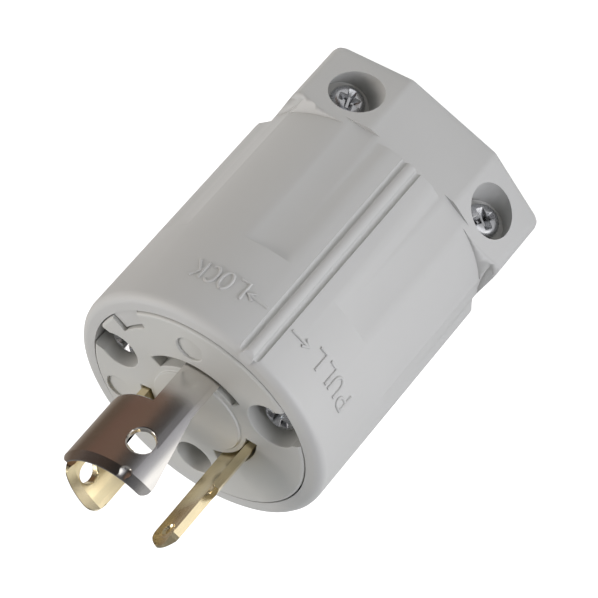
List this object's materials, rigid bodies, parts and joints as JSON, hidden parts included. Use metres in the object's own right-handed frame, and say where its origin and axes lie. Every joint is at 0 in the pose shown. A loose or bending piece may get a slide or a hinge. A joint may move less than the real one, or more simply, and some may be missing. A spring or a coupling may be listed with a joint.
{
  "type": "locking power plug",
  "caption": "Round locking power plug with curved blades on a front insulator, a moulded grip shell and a screwed cord clamp.",
  "frame": {"origin": "centre of the flat cord end at its base, on the plug's axis", "axes": "+Z along the plug's axis from the cord end to the blades, -Y towards the alignment rib, +X towards the side marked LOCK"},
  "size_m": [0.038, 0.0382, 0.0674],
  "materials": {
    "shell_plastic": "light warm grey moulded plastic, fine satin",
    "insulator_plastic": "light grey moulded plastic, fine satin",
    "carrier_plastic": "dark grey moulded plastic",
    "nickel_plate": "bright nickel plating on brass",
    "brass_blade": "bright stamped brass",
    "zinc_steel": "zinc plated steel"
  },
  "bodies": {
    "root": {"housing_shell": "shell_plastic", "cord_clamp": "shell_plastic", "clamp_screw_left": "zinc_steel", "clamp_screw_right": "zinc_steel", "clamp_nut_left": "zinc_steel", "clamp_nut_right": "zinc_steel", "face_insert": "insulator_plastic", "terminal_carrier": "carrier_plastic", "neutral_blade": "nickel_plate", "live_blade": "brass_blade", "earth_blade": "brass_blade", "neutral_terminal_screw": "zinc_steel", "live_terminal_screw": "zinc_steel", "earth_terminal_screw": "zinc_steel", "neutral_wire_plate": "brass_blade", "live_wire_plate": "brass_blade", "earth_wire_plate": "brass_blade", "assembly_screw_left": "zinc_steel", "assembly_screw_right": "zinc_steel", "assembly_screw_back": "zinc_steel"}
  },
  "joints": []
}
